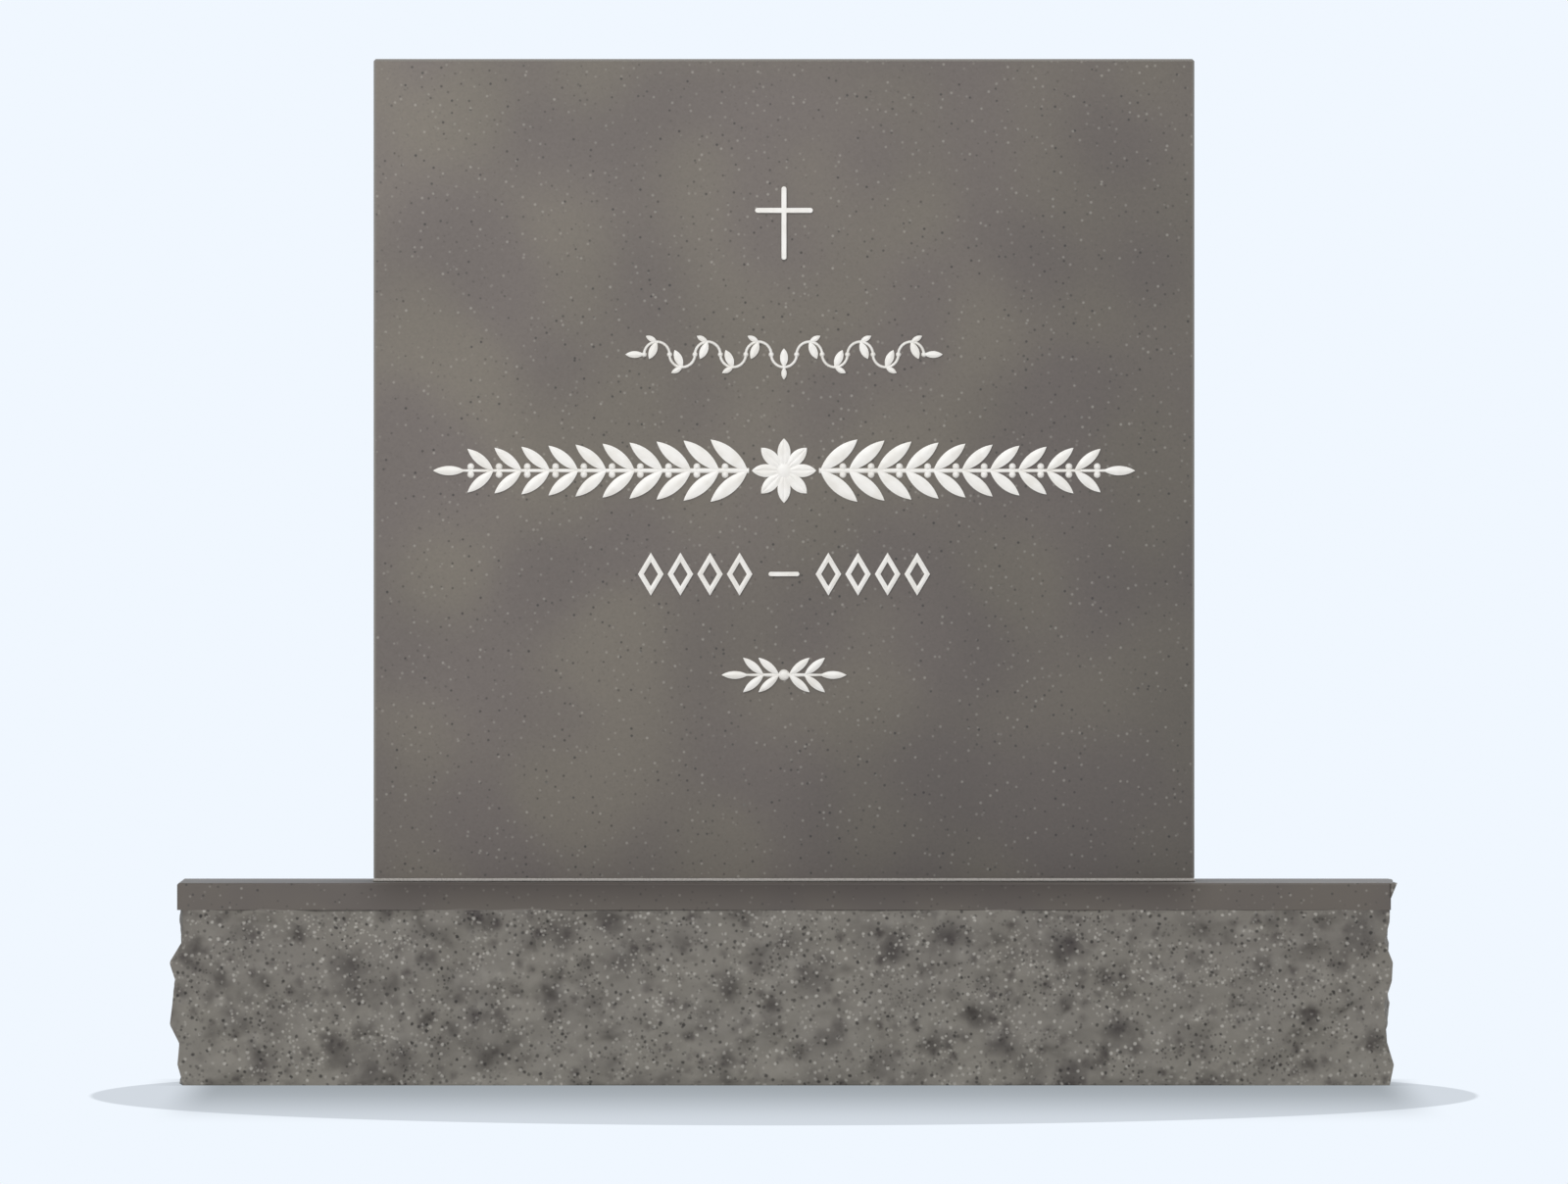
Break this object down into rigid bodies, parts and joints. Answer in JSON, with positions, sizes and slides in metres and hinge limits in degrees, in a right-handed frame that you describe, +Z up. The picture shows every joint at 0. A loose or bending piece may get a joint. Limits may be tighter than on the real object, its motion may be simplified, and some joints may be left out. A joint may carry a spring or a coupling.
{
  "type": "upright headstone",
  "caption": "Square polished granite tablet with a raised cross and raised plain ornament, set upright on a wider granite base with pitched faces and a smooth margin.",
  "frame": {"origin": "middle of the base's underside, on the ground", "axes": "+X along the width to the viewer's right, -Y out of the front with the ornament, +Z up"},
  "size_m": [0.9105, 0.3212, 0.7616],
  "materials": {
    "pitched_granite": "rock pitched below a sawn and honed margin",
    "polished_granite": "polished, with honed arrises",
    "setting_compound": "struck flat and set back a little from the faces",
    "setting_pad": "plain pad",
    "stainless_steel": "plain bar",
    "white_enamel": "satin off-white enamel"
  },
  "bodies": {
    "root": {"base": "pitched_granite", "tablet": "polished_granite", "joint_bed": "setting_compound", "setting_pad_front_left": "setting_pad", "setting_pad_front_right": "setting_pad", "setting_pad_back_left": "setting_pad", "setting_pad_back_right": "setting_pad", "dowel_left": "stainless_steel", "dowel_right": "stainless_steel", "cross": "white_enamel", "vine": "white_enamel", "laurel_left": "white_enamel", "laurel_right": "white_enamel", "rosette": "white_enamel", "lozenge_1": "white_enamel", "lozenge_2": "white_enamel", "lozenge_3": "white_enamel", "lozenge_4": "white_enamel", "lozenge_5": "white_enamel", "lozenge_6": "white_enamel", "lozenge_7": "white_enamel", "lozenge_8": "white_enamel", "bar": "white_enamel", "sprig": "white_enamel"}
  },
  "joints": []
}
